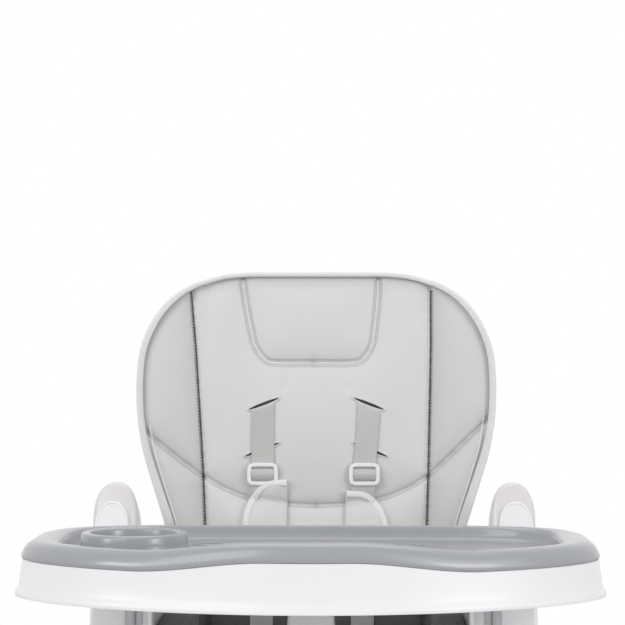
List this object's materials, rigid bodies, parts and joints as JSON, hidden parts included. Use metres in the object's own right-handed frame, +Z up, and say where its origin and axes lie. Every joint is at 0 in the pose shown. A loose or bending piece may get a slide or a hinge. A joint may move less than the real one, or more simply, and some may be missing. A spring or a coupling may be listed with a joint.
{
  "type": "baby high chair",
  "caption": "Folding baby high chair with a padded reclining back, harness, leg rest, sliding seat and a removable tray with a cup ring.",
  "frame": {"origin": "on the floor, in the middle of the footprint", "axes": "+Z up, the child faces -Y, +X to the right when the chair is seen from the front"},
  "size_m": [0.5798, 0.7996, 1.05],
  "materials": {
    "white_plastic": "smooth satin",
    "white_coated_steel": "powder coated",
    "warm_grey_plastic": "satin",
    "grey_plastic": "glossy",
    "dark_plastic": "matt",
    "rubber": "matt",
    "steel": "zinc plated",
    "padding": "padded leather cloth with a pale binding",
    "webbing": "woven webbing"
  },
  "bodies": {
    "front_frame": {"front_leg_L": "white_coated_steel", "front_leg_R": "white_coated_steel", "post_cap_L": "warm_grey_plastic", "post_cap_R": "warm_grey_plastic", "post_cover_L": "white_plastic", "post_cover_R": "white_plastic", "front_foot_L": "rubber", "front_foot_R": "rubber", "height_rack_L": "dark_plastic", "height_rack_R": "dark_plastic", "hinge_bracket_L": "dark_plastic", "hinge_bracket_R": "dark_plastic", "hinge_pin_L": "steel", "hinge_pin_R": "steel", "front_crossbar": "white_coated_steel"},
    "rear_frame": {"rear_leg_L": "white_coated_steel", "rear_leg_R": "white_coated_steel", "wheel_fork_L": "white_plastic", "wheel_fork_R": "white_plastic", "wheel_axle_L": "steel", "wheel_axle_R": "steel", "rear_crossbar": "white_coated_steel"},
    "wheel_L": {"rear_wheel_L": "dark_plastic"},
    "wheel_R": {"rear_wheel_R": "dark_plastic"},
    "brake_L": {"brake_pedal_L": "grey_plastic"},
    "brake_R": {"brake_pedal_R": "grey_plastic"},
    "latch_L": {"fold_latch_L": "grey_plastic"},
    "latch_R": {"fold_latch_R": "grey_plastic"},
    "seat_unit": {"seat_carrier_L": "white_plastic", "seat_carrier_R": "white_plastic", "tray_arm_L": "white_plastic", "tray_arm_R": "white_plastic", "seat_rail_L": "white_plastic", "seat_rail_R": "white_plastic", "waist_strap_L": "webbing", "waist_strap_R": "webbing", "seat_shell": "white_plastic", "seat_pad": "padding", "crotch_post": "padding", "harness_buckle": "grey_plastic"},
    "height_lever_L": {"height_lever_L": "grey_plastic"},
    "height_lever_R": {"height_lever_R": "grey_plastic"},
    "buckle_button": {"buckle_button": "warm_grey_plastic"},
    "backrest": {"back_shell": "white_plastic", "back_pad": "padding", "recline_bar": "steel", "shoulder_strap_L": "webbing", "shoulder_strap_R": "webbing", "shoulder_pad_L": "padding", "shoulder_pad_R": "padding"},
    "slider_L": {"strap_slider_L": "warm_grey_plastic"},
    "slider_R": {"strap_slider_R": "warm_grey_plastic"},
    "recline_handle": {"recline_handle": "grey_plastic"},
    "legrest": {"calf_board": "white_plastic", "calf_pad": "padding"},
    "footrest": {"footrest": "white_plastic"},
    "tray": {"tray_base": "white_plastic"},
    "tray_insert": {"tray_insert": "grey_plastic"},
    "tray_release": {"tray_release": "grey_plastic"}
  },
  "joints": [
    {"name": "rear_fold", "type": "hinge", "parent": "front_frame", "child": "rear_frame", "pos_m": [0, -0.01465, 0.6], "axis": [-1, 0, 0], "range_deg": [0, 50]},
    {"name": "wheel_spin_L", "type": "hinge", "parent": "rear_frame", "child": "wheel_L", "pos_m": [-0.2126, 0.35, 0.05], "axis": [1, 0, 0], "continuous": true},
    {"name": "brake_press_L", "type": "hinge", "parent": "rear_frame", "child": "brake_L", "pos_m": [-0.2126, 0.33294, 0.11428], "axis": [-1, 0, 0], "range_deg": [0, 15]},
    {"name": "latch_lift_L", "type": "hinge", "parent": "front_frame", "child": "latch_L", "pos_m": [-0.2126, -0.04164, 0.59108], "axis": [1, 0, 0], "range_deg": [0, 35], "stiffness_Nm_per_rad": 0.3},
    {"name": "wheel_spin_R", "type": "hinge", "parent": "rear_frame", "child": "wheel_R", "pos_m": [0.2126, 0.35, 0.05], "axis": [1, 0, 0], "continuous": true},
    {"name": "brake_press_R", "type": "hinge", "parent": "rear_frame", "child": "brake_R", "pos_m": [0.2126, 0.33294, 0.11428], "axis": [-1, 0, 0], "range_deg": [0, 15]},
    {"name": "latch_lift_R", "type": "hinge", "parent": "front_frame", "child": "latch_R", "pos_m": [0.2126, -0.04164, 0.59108], "axis": [1, 0, 0], "range_deg": [0, 35], "stiffness_Nm_per_rad": 0.3},
    {"name": "seat_height", "type": "slide", "parent": "front_frame", "child": "seat_unit", "axis": [0, 0.3584, 0.9336], "range_m": [-0.15, 0]},
    {"name": "height_trigger_L", "type": "slide", "parent": "seat_unit", "child": "height_lever_L", "axis": [0, 0.3584, 0.9336], "range_m": [0, 0.008], "stiffness_N_per_m": 400},
    {"name": "height_trigger_R", "type": "slide", "parent": "seat_unit", "child": "height_lever_R", "axis": [0, 0.3584, 0.9336], "range_m": [0, 0.008], "stiffness_N_per_m": 400},
    {"name": "buckle_press", "type": "slide", "parent": "seat_unit", "child": "buckle_button", "axis": [0, 0, -1], "range_m": [0, 0.002], "stiffness_N_per_m": 500},
    {"name": "recline", "type": "hinge", "parent": "seat_unit", "child": "backrest", "pos_m": [0, 0.075, 0.565], "axis": [-1, 0, 0], "range_deg": [0, 40]},
    {"name": "strap_adjust_L", "type": "slide", "parent": "backrest", "child": "slider_L", "axis": [0, 0.2079, 0.9781], "range_m": [0, 0.03]},
    {"name": "strap_adjust_R", "type": "slide", "parent": "backrest", "child": "slider_R", "axis": [0, 0.2079, 0.9781], "range_m": [0, 0.03]},
    {"name": "recline_grip", "type": "slide", "parent": "backrest", "child": "recline_handle", "axis": [0, 0.2079, 0.9781], "range_m": [0, 0.012], "stiffness_N_per_m": 400},
    {"name": "legrest_lift", "type": "hinge", "parent": "seat_unit", "child": "legrest", "pos_m": [0, -0.222, 0.536], "axis": [-1, 0, 0], "range_deg": [0, 70]},
    {"name": "footrest_fold", "type": "hinge", "parent": "legrest", "child": "footrest", "pos_m": [0, -0.26346, 0.34581], "axis": [-1, 0, 0], "range_deg": [0, 60]},
    {"name": "tray_adjust", "type": "slide", "parent": "seat_unit", "child": "tray", "axis": [0, -1, 0], "range_m": [0, 0.05]},
    {"name": "insert_lift", "type": "slide", "parent": "tray", "child": "tray_insert", "axis": [0, 0, 1], "range_m": [0, 0.06]},
    {"name": "tray_squeeze", "type": "slide", "parent": "tray", "child": "tray_release", "axis": [0, 1, 0], "range_m": [0, 0.008], "stiffness_N_per_m": 400}
  ]
}
